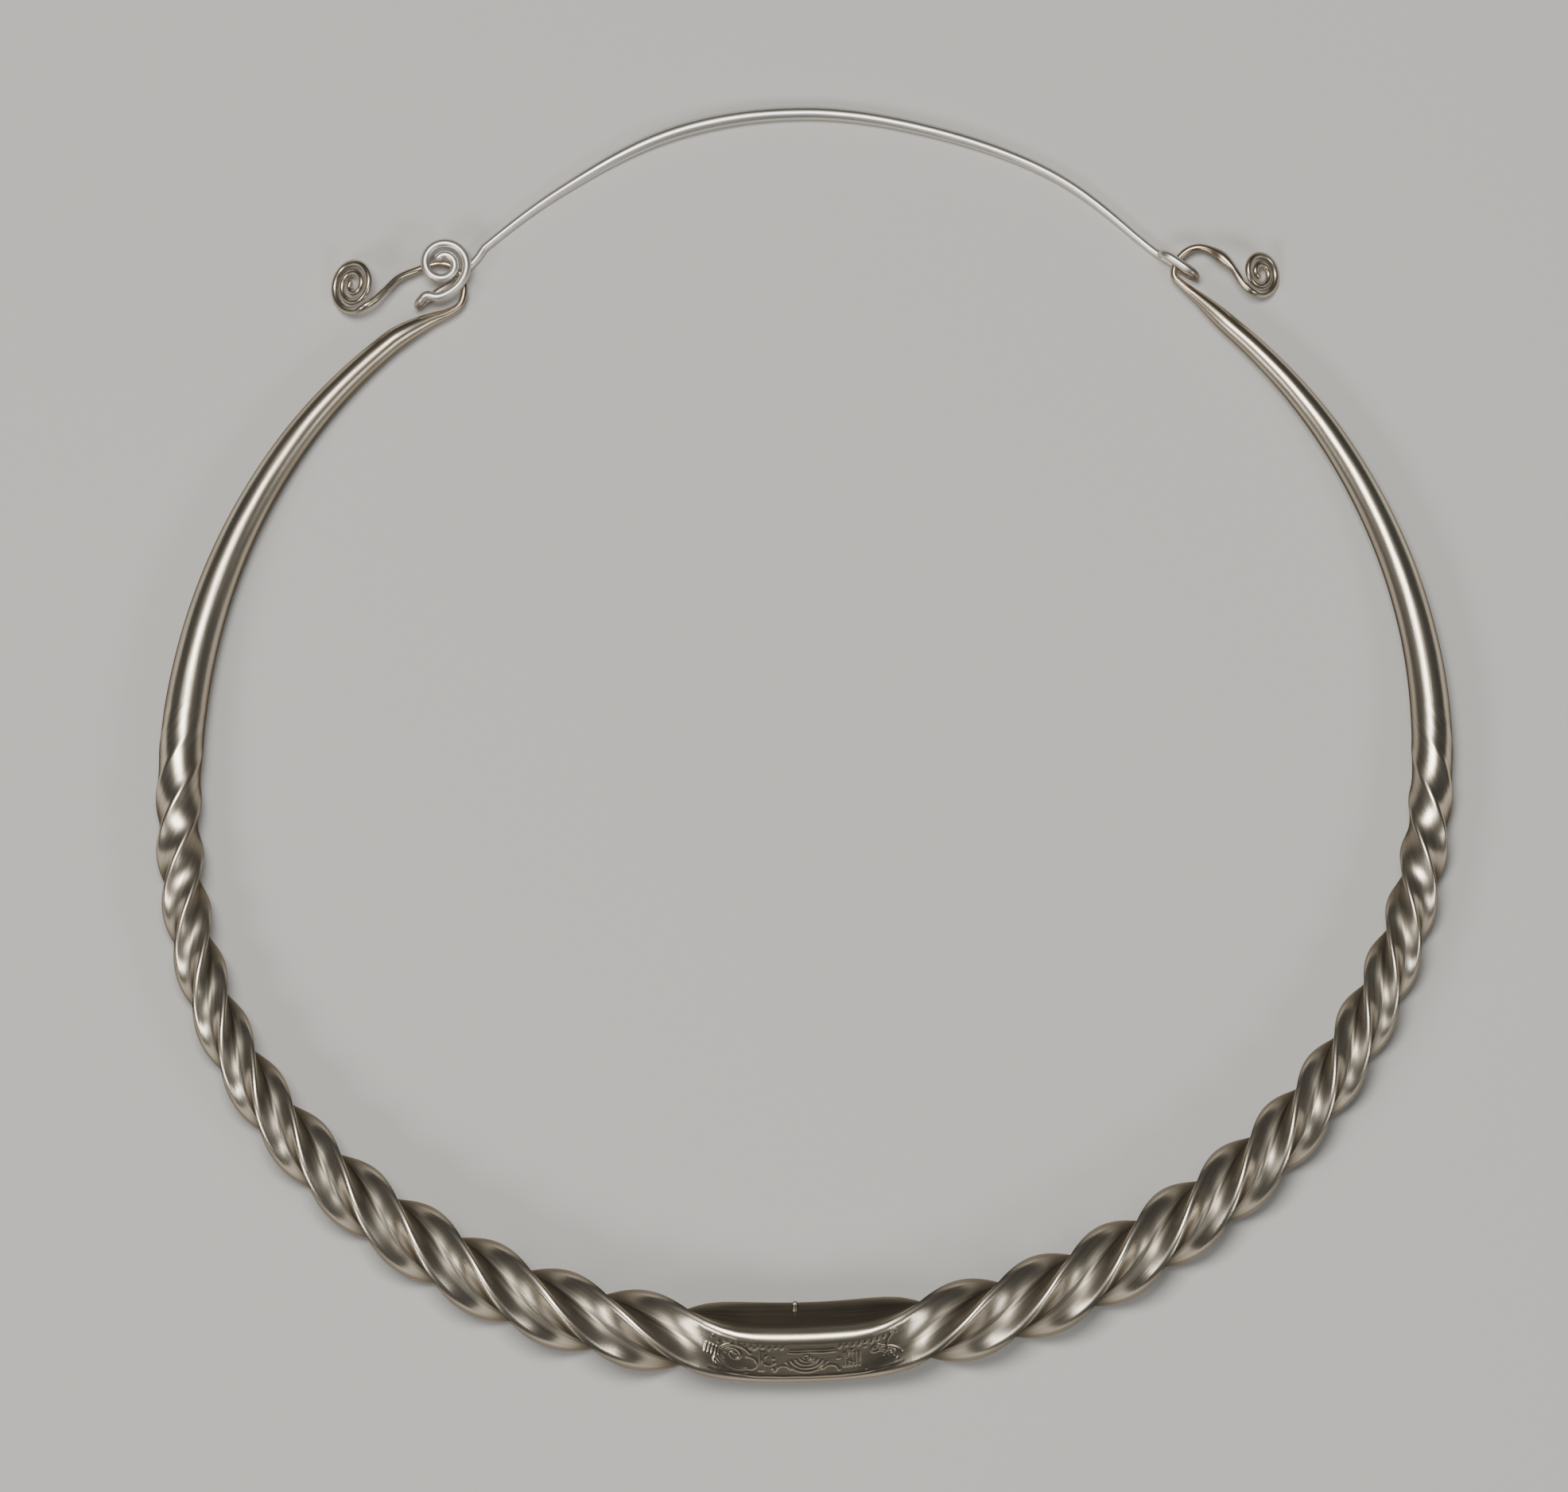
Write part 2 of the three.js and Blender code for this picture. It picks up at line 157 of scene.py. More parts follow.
def smooth(value, low, high):
    part = min(max((value - low) / (high - low), 0.0), 1.0)
    return part * part * (3 - 2 * part)


def mix(a, b, part):
    return a + (b - a) * part


def swell(run, bump):
    """A soft rise and fall around one place along a wire."""
    return bump["height"] * math.exp(-((run - bump["at"]) / bump["length"]) ** 2)


def between(values, first, step, angle):
    """A smooth value between evenly spaced stations."""
    place = (angle - first) / step
    index = min(max(math.floor(place), 0), len(values) - 2)
    part = place - index
    a, b, c, d = (values[min(max(index + k, 0), len(values) - 1)] for k in (-1, 0, 1, 2))
    bend = 2 * a - 5 * b + 4 * c - d
    swing = 3 * b - a - 3 * c + d
    return b + 0.5 * (part * (c - a) + part ** 2 * bend + part ** 3 * swing)


def bar_point(angle):
    reach = between(BAR_REACH, BAR_FIRST, STATION_STEP, angle)
    y = -reach * math.cos(math.radians(angle))
    rise = PANEL_DROP * smooth(abs(angle), TWIST_START, TWIST_FULL)
    z = PANEL_HEIGHT + rise - BAR_FALL * max(0.0, y + LEVEL_REACH)
    return np.array([reach * math.sin(math.radians(angle)), y, z])


def bar_thickness(angle):
    thickness = between(BAR_THICKNESS, BAR_FIRST, STATION_STEP, angle)
    return mix(RIGHT_THICKNESS[0], thickness, smooth(abs(angle), TWIST_START, TWIST_FULL))


def quarter_length(angle):
    along = (angle - TWIST_FULL) / (TWIST_END - TWIST_FULL)
    return mix(FIRST_QUARTER, LAST_QUARTER, min(max(along, 0.0), 1.0))


def quarter_turns():
    """Angles from the panel's middle, and the quarter turns made by each."""
    angles, turns = [0.0], [0.0]
    while angles[-1] < TWIST_END:
        quarter = quarter_length(angles[-1])
        reached = angles[-1] + quarter / STEPS_A_QUARTER
        rate = smooth((angles[-1] + reached) / 2, TWIST_START, TWIST_FULL) / quarter
        turns.append(turns[-1] + rate * (reached - angles[-1]))
        angles.append(reached)
    return angles, turns


def smooth_path(points, spacing):
    """Points along a centripetal curve that runs through every given place."""
    points = [np.array(p, float) for p in points]
    held = [2 * points[0] - points[1], *points, 2 * points[-1] - points[-2]]
    path = []
    for i in range(len(points) - 1):
        p0, p1, p2, p3 = held[i:i + 4]
        d0, d1, d2 = (max(np.linalg.norm(q - p) ** 0.5, 1e-4)
                      for p, q in ((p0, p1), (p1, p2), (p2, p3)))
        first = d1 * ((p1 - p0) / d0 - (p2 - p0) / (d0 + d1) + (p2 - p1) / d1)
        last = d1 * ((p2 - p1) / d1 - (p3 - p1) / (d1 + d2) + (p3 - p2) / d2)
        parts = max(1, round(np.linalg.norm(p2 - p1) / spacing))
        for k in range(parts):
            t = k / parts
            path.append(p1 + first * t + (3 * (p2 - p1) - 2 * first - last) * t ** 2
                        + (first + last - 2 * (p2 - p1)) * t ** 3)
    path.append(points[-1])
    return path


def coil_points(coil, lean, start):
    """A flat coil, from its outer end inwards. Its plane leans outwards."""
    points = []
    for i in range(round(coil["turns"] * COIL_STEPS) + 1):
        turn = i / COIL_STEPS
        angle = math.radians(start + 360 * turn)
        radius = coil["radius"] - coil["pitch"] * turn
        across = radius * math.cos(angle)
        points.append((coil["x"] + coil["side"] * across * math.cos(math.radians(lean)),
                       coil["y"] + radius * math.sin(angle),
                       coil["z"] - across * math.sin(math.radians(lean))))
    return points


def loop_back(loop):
    """A half circle that stands upright and turns a wire back above itself."""
    points = []
    for angle in range(-90, 91, 30):
        reach = LOOP_RADIUS * math.cos(math.radians(angle))
        rise = LOOP_RADIUS * math.sin(math.radians(angle))
        points.append((loop["x"] + reach * loop["towards"][0],
                       loop["y"] + reach * loop["towards"][1], LOOP_HEIGHT + rise))
    return points


# ---- Stations along each piece --------------------------------------------------------------

def station(point, thickness, square=0.0, ridge=0.0, hollow=0.0, crease=0.0, turn=0.0, brown=0.0,
            near_panel=0.0):
    return dict(point=np.array(point, float), thickness=thickness, square=square, ridge=ridge,
                hollow=hollow, crease=crease, turn=turn, brown=brown, near_panel=near_panel)


def bar_station(angle, turns):
    """One section of the ring: square and twisted in front, round in the limbs."""
    away = abs(angle)
    thickness = bar_thickness(angle)
    twisted = smooth(away, TWIST_START, TWIST_FULL)
    crease = smooth(away, *CREASE_RISE) * (1 - smooth(away, *CREASE_FADE))
    return station(
        bar_point(angle), thickness * TRIM, square=1 - smooth(away, *TWIST_FADE),
        ridge=mix(PANEL_RIDGE, TWIST_RIDGE, twisted), hollow=FACE_HOLLOW * thickness * twisted,
        crease=crease, turn=math.radians(90 * np.interp(away, *turns)),
        brown=NECK_BROWN * smooth(away, BROWN_START, LIMB_END),
        near_panel=1 - smooth(away, *PANEL_MARK_FADE))


def half_angles():
    angles, angle = [0.0], 0.0
    while angle < LIMB_END:
        if angle < PANEL_REACH:
            step = PANEL_STEP
        elif angle < TWIST_FINE_END:
            step = TWIST_STEP
        else:
            step = LIMB_STEP
        angle = min(angle + math.degrees(step / RING_RADIUS), LIMB_END)
        angles.append(angle)
    return angles


def terminal(side, limb_end, neck, coil, flare):
    """One drawn-out end of the bar, from the limb to the inside of the coil."""
    lowest = (coil["radius"] + coil["pitch"] * COIL_START / 360) * math.sin(math.radians(COIL_LEAN))
    leaning = dict(coil, z=lowest + HOOK_WIRE / 2 - COIL_SINK)
    limb = [bar_point(side * (LIMB_END - NECK_LEAD)), bar_point(side * LIMB_END)]
    path = smooth_path([*limb, *neck, *coil_points(leaning, COIL_LEAN, COIL_START)], WIRE_STEP)
    first = min(range(len(path)), key=lambda i: np.linalg.norm(path[i] - limb[1]))
    path = path[first:]
    runs = np.cumsum([0] + [np.linalg.norm(b - a) for a, b in zip(path, path[1:])])
    whole = runs[-1]
    coil_length = math.pi * coil["turns"] * (2 * coil["radius"] - coil["pitch"] * coil["turns"])
    stations = []
    for point, run in list(zip(path, runs))[1:]:
        drawn = mix(limb_end["thickness"], HOOK_WIRE, smooth(run, 0, NECK_TAPER))
        tip = smooth(run, whole - coil_length, whole) * (HOOK_WIRE - COIL_TIP_WIRE)
        swelling = swell(run, flare) if flare else 0.0
        brown = NECK_BROWN + swell(run, NECK_STAIN) - COIL_CLEANED * smooth(run, *COIL_CLEANING)
        trim = mix(TRIM, WIRE_TRIM, smooth(run, 0, NECK_TAPER))
        stations.append(station(point, (drawn - tip + swelling) * trim, turn=limb_end["turn"],
                                brown=brown))
    return stations


def rounded_end(last, before):
    """Shrinking sections that close a wire's cut end into a small dome."""
    way = last["point"] - before["point"]
    way = way / np.linalg.norm(way)
    half = last["thickness"] / 2
    return [dict(last, point=last["point"] + way * half * DOME_HEIGHT * math.sin(a),
                 thickness=last["thickness"] * max(math.cos(a), DOME_TIP))
            for a in (math.radians(angle) for angle in DOME_ANGLES)]


def torc_stations():
    turns = quarter_turns()
    angles = half_angles()
    right = [bar_station(angle, turns) for angle in angles]
    left = [bar_station(-angle, turns) for angle in angles[1:]]
    right += terminal(1, right[-1], RIGHT_NECK, RIGHT_COIL, RIGHT_FLARE)
    left += terminal(-1, left[-1], LEFT_NECK, LEFT_COIL, None)
    right += rounded_end(right[-1], right[-2])
    left += rounded_end(left[-1], left[-2])
    return left[::-1] + right, len(left)


def link_wire(point):
    """The wire is thicker where it has been turned back above itself."""
    return mix(LINK_WIRE, LINK_TOP_WIRE, smooth(point[2], LOOP_HEIGHT, LOOP_HEIGHT + LOOP_RADIUS))


def link_stations():
    arc = []
    for angle in np.arange(-LINK_END, LINK_END + LINK_ARC_STEP / 2, LINK_ARC_STEP):
        reach = between(LINK_REACH, LINK_FIRST, LINK_STEP, angle)
        thickness = between(LINK_THICKNESS, LINK_FIRST, LINK_STEP, angle)
        x, y = reach * math.sin(math.radians(angle)), reach * math.cos(math.radians(angle))
        arc.append(station((x, y, thickness / 2 + LINK_CLEAR), thickness * WIRE_TRIM))
    coil = coil_points(LINK_COIL, 0.0, LINK_COIL_START)
    ends = []
    for start, places in (
            (arc[0], [*LEFT_STEM, *loop_back(LEFT_LOOP), *LEFT_STRAND, *coil]),
            (arc[-1], [*RIGHT_STEM, *loop_back(RIGHT_LOOP), *RIGHT_STRAND])):
        path = smooth_path([start["point"], *places], WIRE_STEP)[1:]
        runs = np.cumsum([np.linalg.norm(b - a) for a, b in zip([start["point"], *path], path)])
        end = [station(point, link_wire(point) * WIRE_TRIM, brown=swell(run, LINK_STAIN))
               for point, run in zip(path, runs)]
        ends.append(end + rounded_end(end[-1], end[-2]))
    left, right = ends
    return left[::-1] + arc + right, len(left)


# ---- The paths as edges, with what the sweep needs at each point -----------------------------

def carry_up(points, tangents, start):
    """The way up at every station, carried both ways without any twist of its own."""
    ups = [None] * len(points)
    flat = np.array([0.0, 0.0, 1.0])
    flat = flat - tangents[start] * flat.dot(tangents[start])
    ups[start] = flat / np.linalg.norm(flat)

    def carry(i, j):
        chord = points[j] - points[i]
        chord = chord / np.linalg.norm(chord)
        turned = ups[i] - 2 * chord * ups[i].dot(chord)
        tangent = tangents[i] - 2 * chord * tangents[i].dot(chord)
        match = tangents[j] - tangent
        if np.linalg.norm(match) > 1e-9:
            match = match / np.linalg.norm(match)
            turned = turned - 2 * match * turned.dot(match)
        turned = turned - tangents[j] * turned.dot(tangents[j])
        ups[j] = turned / np.linalg.norm(turned)

    for i in range(start, len(points) - 1):
        carry(i, i + 1)
    for i in range(start, 0, -1):
        carry(i, i - 1)
    return np.array(ups)


def path_object(name, stations, start):
    points = np.array([s["point"] for s in stations])
    ahead = np.vstack([points[1:], points[-1:]])
    behind = np.vstack([points[:1], points[:-1]])
    tangents = ahead - behind
    tangents = tangents / np.linalg.norm(tangents, axis=1)[:, None]
    ups = carry_up(points, tangents, start)
    outs = np.cross(tangents, ups)
    steps = np.linalg.norm(np.diff(points, axis=0), axis=1)
    along = np.concatenate([[0], np.cumsum(steps)])
    along = along - along[start]
    mesh = bpy.data.meshes.new(name)
    mesh.from_pydata((points * MM).tolist(), [(i, i + 1) for i in range(len(points) - 1)], [])
    for key, values in (("middle", points * MM), ("up", ups), ("out", outs)):
        layer = mesh.attributes.new(key, "FLOAT_VECTOR", "POINT")
        layer.data.foreach_set("vector", np.asarray(values, np.float32).ravel())
    scales = dict(thickness=MM, ridge=MM, hollow=MM, square=1, crease=1, turn=1, brown=1, near_panel=1)
    for key, scale in scales.items():
        layer = mesh.attributes.new(key, "FLOAT", "POINT")
        layer.data.foreach_set("value", [s[key] * scale for s in stations])
    layer = mesh.attributes.new("along", "FLOAT", "POINT")
    layer.data.foreach_set("value", (along * MM).tolist())
    piece = bpy.data.objects.new(name, mesh)
    bpy.context.scene.collection.objects.link(piece)
    return piece


# ---- The sweep -------------------------------------------------------------------------------

RIDGE_CROWDING = 0.38  # how much closer together points lie near a ridge
CREASE_OFFSET = 1.15  # each scribed line's distance from the middle, in crease widths
HAMMER_AROUND = 1.3
HAMMER_ALONG = 150.0
HAIR = 0.0001  # keeps a ridge's own points on the face that starts there
FACE_MATCH = 0.1
PANEL_MARK_EDGE = 8.0  # the higher, the closer to a ridge the painted shade and the rubbed tone reach
CREST_EDGE = 5.0


class Sums:
    """Adds arithmetic to a node tree."""

    def __init__(self, tree):
        self.tree = tree

    def node(self, kind, **settings):
        made = self.tree.nodes.new(kind)
        for key, value in settings.items():
            setattr(made, key, value)
        return made

    def feed(self, socket, value):
        if isinstance(value, (int, float)):
            socket.default_value = value
        else:
            self.tree.links.new(value, socket)

    def sum(self, operation, *values, clamp=False):
        made = self.node("ShaderNodeMath", operation=operation, use_clamp=clamp)
        for socket, value in zip(made.inputs, values):
            self.feed(socket, value)
        return made.outputs[0]

    def named(self, name, kind="FLOAT"):
        made = self.node("GeometryNodeInputNamedAttribute", data_type=kind)
        made.inputs["Name"].default_value = name
        return made.outputs["Attribute"]

    def scaled(self, vector, amount):
        made = self.node("ShaderNodeVectorMath", operation="SCALE")
        self.tree.links.new(vector, made.inputs[0])
        self.feed(made.inputs["Scale"], amount)
        return made.outputs[0]

    def added(self, a, b):
        made = self.node("ShaderNodeVectorMath", operation="ADD")
        self.tree.links.new(a, made.inputs[0])
        self.tree.links.new(b, made.inputs[1])
        return made.outputs[0]


def keep(sums, geometry, name, value, kind="FLOAT"):
    made = sums.node("GeometryNodeStoreNamedAttribute", data_type=kind, domain="POINT")
    made.inputs["Name"].default_value = name
    sums.tree.links.new(geometry, made.inputs["Geometry"])
    sums.feed(made.inputs["Value"], value)
    return made.outputs["Geometry"]


def sweep_tree():
    """Sweeps the bar's section along a path. The section has four ridges with a hollow face
    between each two where `square` is 1, and is a circle where it is 0."""
    tree = bpy.data.node_groups.new("Swept silver bar", "GeometryNodeTree")
    face = tree.interface
    face.new_socket("Path", in_out="INPUT", socket_type="NodeSocketGeometry")
    face.new_socket("Sides", in_out="INPUT", socket_type="NodeSocketInt")
    face.new_socket("Ridge Softness", in_out="INPUT", socket_type="NodeSocketFloat")
    face.new_socket("Crease Depth", in_out="INPUT", socket_type="NodeSocketFloat")
    face.new_socket("Crease Width", in_out="INPUT", socket_type="NodeSocketFloat")
    face.new_socket("Hammer Depth", in_out="INPUT", socket_type="NodeSocketFloat")
    face.new_socket("Silver", in_out="INPUT", socket_type="NodeSocketMaterial")
    face.new_socket("Bar", in_out="OUTPUT", socket_type="NodeSocketGeometry")
    sums = Sums(tree)
    given = sums.node("NodeGroupInput").outputs
    s = sums.sum

    ring = sums.node("GeometryNodeCurvePrimitiveCircle", mode="RADIUS")
    tree.links.new(given["Sides"], ring.inputs["Resolution"])
    ring.inputs["Radius"].default_value = MM
    place = sums.node("GeometryNodeSplineParameter").outputs["Index"]
    around_value = s("DIVIDE", place, given["Sides"])
    section = keep(sums, ring.outputs["Curve"], "around", around_value)
    path = sums.node("GeometryNodeMeshToCurve")
    tree.links.new(given["Path"], path.inputs["Mesh"])
    skin = sums.node("GeometryNodeCurveToMesh")
    tree.links.new(path.outputs["Curve"], skin.inputs["Curve"])
    tree.links.new(section, skin.inputs["Profile Curve"])
    skin.inputs["Fill Caps"].default_value = True

    # Where a point lies on its face: -1 and 1 are the ridges, 0 the face's middle.
    quarter = s("MULTIPLY", sums.named("around"), 4.0)
    number = s("FLOOR", s("ADD", quarter, HAIR))
    even = s("SUBTRACT", s("MULTIPLY", s("SUBTRACT", quarter, number), 2.0), 1.0)
    square = sums.named("square")
    inwards = s("SUBTRACT", s("MULTIPLY", even, even), 1.0)
    crowding = s("MULTIPLY", square, s("MULTIPLY", RIDGE_CROWDING, inwards))
    eased = s("MULTIPLY", even, s("ADD", 1.0, crowding))
    lean = s("MULTIPLY", eased, math.pi / 4)
    half = s("MULTIPLY", sums.named("thickness"), 0.5)
    sunk = s("MULTIPLY", sums.named("hollow"), s("SUBTRACT", 1.0, s("MULTIPLY", eased, eased)))
    level = s("MULTIPLY", s("ADD", half, s("MULTIPLY", sums.named("ridge"), 0.5)), math.sqrt(0.5))
    facing = s("SUBTRACT", level, sunk)
    across_face = s("MULTIPLY", s("TANGENT", lean), level)

    # A scribed line each side of the face's middle.
    width = given["Crease Width"]
    lines = None
    for side in (-1, 1):
        away = s("ADD", across_face, s("MULTIPLY", width, CREASE_OFFSET * side))
        off = s("DIVIDE", away, width)
        line = s("EXPONENT", s("MULTIPLY", s("MULTIPLY", off, off), -1.0))
        lines = line if lines is None else s("ADD", lines, line)
    lines = s("MULTIPLY", lines, s("MULTIPLY", sums.named("crease"), square))
    facing = s("SUBTRACT", facing, s("MULTIPLY", lines, given["Crease Depth"]))

    to_face = s("DIVIDE", facing, s("COSINE", lean))
    from_ridge = s("SUBTRACT", math.pi / 4, s("ABSOLUTE", lean))
    to_ridge = s("DIVIDE", half, s("COSINE", from_ridge))
    softness = s("MULTIPLY", sums.named("thickness"), given["Ridge Softness"])
    squared = s("SMOOTH_MIN", to_face, to_ridge, softness)
    radius = s("ADD", half, s("MULTIPLY", s("SUBTRACT", squared, half), square))

    # Shallow hammered flats that run along the bar.
    turned = s("ADD", s("MULTIPLY", s("ADD", number, 0.5), math.pi / 2), lean)
    spot = sums.node("ShaderNodeCombineXYZ")
    sums.feed(spot.inputs[0], s("MULTIPLY", s("COSINE", turned), HAMMER_AROUND))
    sums.feed(spot.inputs[1], s("MULTIPLY", s("SINE", turned), HAMMER_AROUND))
    sums.feed(spot.inputs[2], s("MULTIPLY", sums.named("along"), HAMMER_ALONG))
    patches = sums.node("ShaderNodeTexNoise")
    tree.links.new(spot.outputs[0], patches.inputs["Vector"])
    patches.inputs["Scale"].default_value = 1.0
    patches.inputs["Detail"].default_value = 1.0
    beaten = s("MULTIPLY", s("SUBTRACT", patches.outputs[0], 1.0), given["Hammer Depth"])
    beaten = s("MULTIPLY", beaten, s("SUBTRACT", 1.0, square))
    radius = s("ADD", radius, s("MULTIPLY", beaten, sums.named("thickness")))

    angle = s("ADD", turned, sums.named("turn"))
    out, up = sums.named("out", "FLOAT_VECTOR"), sums.named("up", "FLOAT_VECTOR")
    outward = sums.scaled(out, s("MULTIPLY", radius, s("COSINE", angle)))
    upward = sums.scaled(up, s("MULTIPLY", radius, s("SINE", angle)))
    spot = sums.added(sums.named("middle", "FLOAT_VECTOR"), sums.added(outward, upward))
    put = sums.node("GeometryNodeSetPosition")
    tree.links.new(skin.outputs["Mesh"], put.inputs["Geometry"])
    tree.links.new(spot, put.inputs["Position"])

    # What the finish needs to know: how deep a point lies, and how near a ridge.
    deep = s("MULTIPLY", s("SUBTRACT", 1.0, s("MULTIPLY", eased, eased)), square)
    share = s("DIVIDE", sums.named("hollow"), s("MULTIPLY", sums.named("thickness"), FACE_HOLLOW))
    deep = s("MULTIPLY", deep, share)
    geometry = keep(sums, put.outputs["Geometry"], "face_across", across_face)
    geometry = keep(sums, geometry, "deep", deep)
    geometry = keep(sums, geometry, "scribed", lines)
    # Painted shade on the panel's inner upper face, near the panel and away from the crest.
    inner = s("COMPARE", number, 1.0, FACE_MATCH)
    near_crest = s("POWER", s("ABSOLUTE", eased), PANEL_MARK_EDGE)
    near_panel = s("MULTIPLY", s("SUBTRACT", 1.0, near_crest), sums.named("near_panel"))
    geometry = keep(sums, geometry, "painted_inner_shade", s("MULTIPLY", inner, near_panel))
    outer = s("COMPARE", number, 0.0, FACE_MATCH)
    geometry = keep(sums, geometry, "rubbed", s("MULTIPLY", outer, near_panel))
    crest = s("MULTIPLY", s("POWER", s("ABSOLUTE", eased), CREST_EDGE), square)
    geometry = keep(sums, geometry, "crest", crest)
    tube = sums.node("ShaderNodeCombineXYZ")
    sums.feed(tube.inputs[0], s("MULTIPLY", s("COSINE", turned), half))
    sums.feed(tube.inputs[1], s("MULTIPLY", s("SINE", turned), half))
    sums.feed(tube.inputs[2], sums.named("along"))
    geometry = keep(sums, geometry, "bar_place", tube.outputs[0], "FLOAT_VECTOR")
    solid = sums.node("GeometryNodeRealizeInstances")
    tree.links.new(geometry, solid.inputs[0])
    coat = sums.node("GeometryNodeSetMaterial")
    tree.links.new(solid.outputs[0], coat.inputs["Geometry"])
    tree.links.new(given["Silver"], coat.inputs["Material"])
    result = sums.node("NodeGroupOutput")
    tree.links.new(coat.outputs[0], result.inputs["Bar"])
    return tree


def swept(piece, tree, silver, **sizes):
    """Runs the sweep on a path, and leaves its result as the piece's plain mesh."""
    modifier = piece.modifiers.new("Sweep", "NODES")
    modifier.node_group = tree
    sizes["Silver"] = silver
    for item in tree.interface.items_tree:
        if item.in_out == "INPUT" and item.name in sizes:
            modifier[item.identifier] = sizes[item.name]
    made = piece.evaluated_get(bpy.context.evaluated_depsgraph_get())
    mesh = bpy.data.meshes.new_from_object(made)
    piece.modifiers.remove(modifier)
    piece.data = mesh
    return piece


# ---- The engraving ---------------------------------------------------------------------------

ARC_PARTS = 18
SCROLL_PARTS = 24
SCROLL_PART_TURN = 20  # degrees
SCROLL_CLOSING = 0.75
TICKS = 30
PANEL_DOTS = [(-11.9, -2.3), (-7.3, 2.3), (-12.6, 2.1), (-4.6, 0.6), (-4.6, -1.2), (8.5, 1.9),
              (8.4, -2.1), (4.6, 0.4), (13.0, -1.9)]
FLAT_REACH = 3.35  # half the width of the panel's face that lies flat
STROKE_REACH = 3.5
ENGRAVED_RUN = 15.6  # each way along the panel from its middle
OUTER_FACE_END = 0.25  # the outer upper face is the first quarter of the way round
STROKE_WIDTH = 0.14
STROKE_DEPTH = 0.11
STROKE_FADE = 0.3  # over this distance the strokes die away at the face's edges
LEAST_CUT = 0.01
DOT_SIZE = 0.18


def arc(x, y, radius, first, last, tall=1.0):
    return [(x + radius * math.cos(math.radians(mix(first, last, i / ARC_PARTS))),
             y + radius * tall * math.sin(math.radians(mix(first, last, i / ARC_PARTS))))
            for i in range(ARC_PARTS + 1)]


def scroll(x, y, size, side):
    """A small spiral that opens towards one side."""
    spiral = []
    for i in range(SCROLL_PARTS + 1):
        reach = 1 - SCROLL_CLOSING * i / SCROLL_PARTS
        turn = math.radians(SCROLL_PART_TURN * i)
        spiral.append((x + side * size * reach * math.cos(turn), y + size * reach * math.sin(turn)))
    return spiral


def panel_strokes():
    """Strokes on the panel's face, in millimetres: along it from its middle, and up across it."""
    strokes = [arc(0.1, 0.9, size, 200, 340, 0.9) for size in (0.9, 1.6, 2.3, 3.0)]
    strokes += [arc(0.1, 0.9, 0.4, 0, 360)]
    strokes += [arc(side * 3.3 + 0.1, -1.9, 1.2, 90 - side * 80, 90 + side * 60)
                for side in (-1, 1)]
    strokes += [[(-2.4, 1.7), (4.2, 1.7)], [(-2.2, 2.1), (4.0, 2.1)]]
    strokes += [[(-14.2 + 0.5 * i, 1.1), (-14.4 + 0.5 * i, -0.5)] for i in range(4)]
    strokes += [scroll(-10.2, 0.7, 1.3, -1), arc(-10.0, 0.2, 2.4, 30, 190, 0.95)]
    strokes += [arc(-9.7, 1.2, 3.0, -150, -60), arc(-9.7, 1.8, 4.2, -140, -70)]
    strokes += [arc(-8.0, -0.4, 1.1, -90, 110), arc(-12.0, -1.2, 1.0, 60, 220)]
    strokes += [[(-6.4 + 0.45 * i, 1.8), (-6.5 + 0.45 * i, -1.6)] for i in range(2)]
    strokes += [[(5.4 + 0.55 * i, 1.3), (5.3 + 0.55 * i, -1.2)] for i in range(5)]
    strokes += [scroll(10.0, 0.9, 0.9, 1), scroll(11.9, -0.6, 0.9, -1)]
    strokes += [arc(9.4, -2.6, 3.2, 20, 80), arc(9.4, -3.2, 4.6, 25, 75)]
    strokes += [arc(13.8, 0.8, 2.2, 110, 200)]
    strokes += [arc(7.0, 0.6, 1.2, 100, 260), arc(-5.2, 0.3, 0.9, 120, 330)]
    for tick in range(TICKS):
        x, tall = -13.4 + 0.92 * tick, 0.34 + 0.14 * math.sin(2.3 * tick)
        if abs(x - 1) > 4:
            strokes += [[(x, 2.75), (x - 0.12, 2.75 - tall)]]
    strokes += [[(-13.6, -2.6), (13.6, -2.6)]]
    return strokes


def nearness(spots, stroke):
    """The distance of every spot from a stroke."""
    best = np.full(len(spots), 1e9)
    for a, b in zip(stroke, stroke[1:]):
        a, b = np.array(a), np.array(b)
        run = b - a
        part = np.clip(((spots - a) @ run) / max(run.dot(run), 1e-9), 0, 1)
        best = np.minimum(best, np.linalg.norm(spots - a - part[:, None] * run, axis=1))
    return best


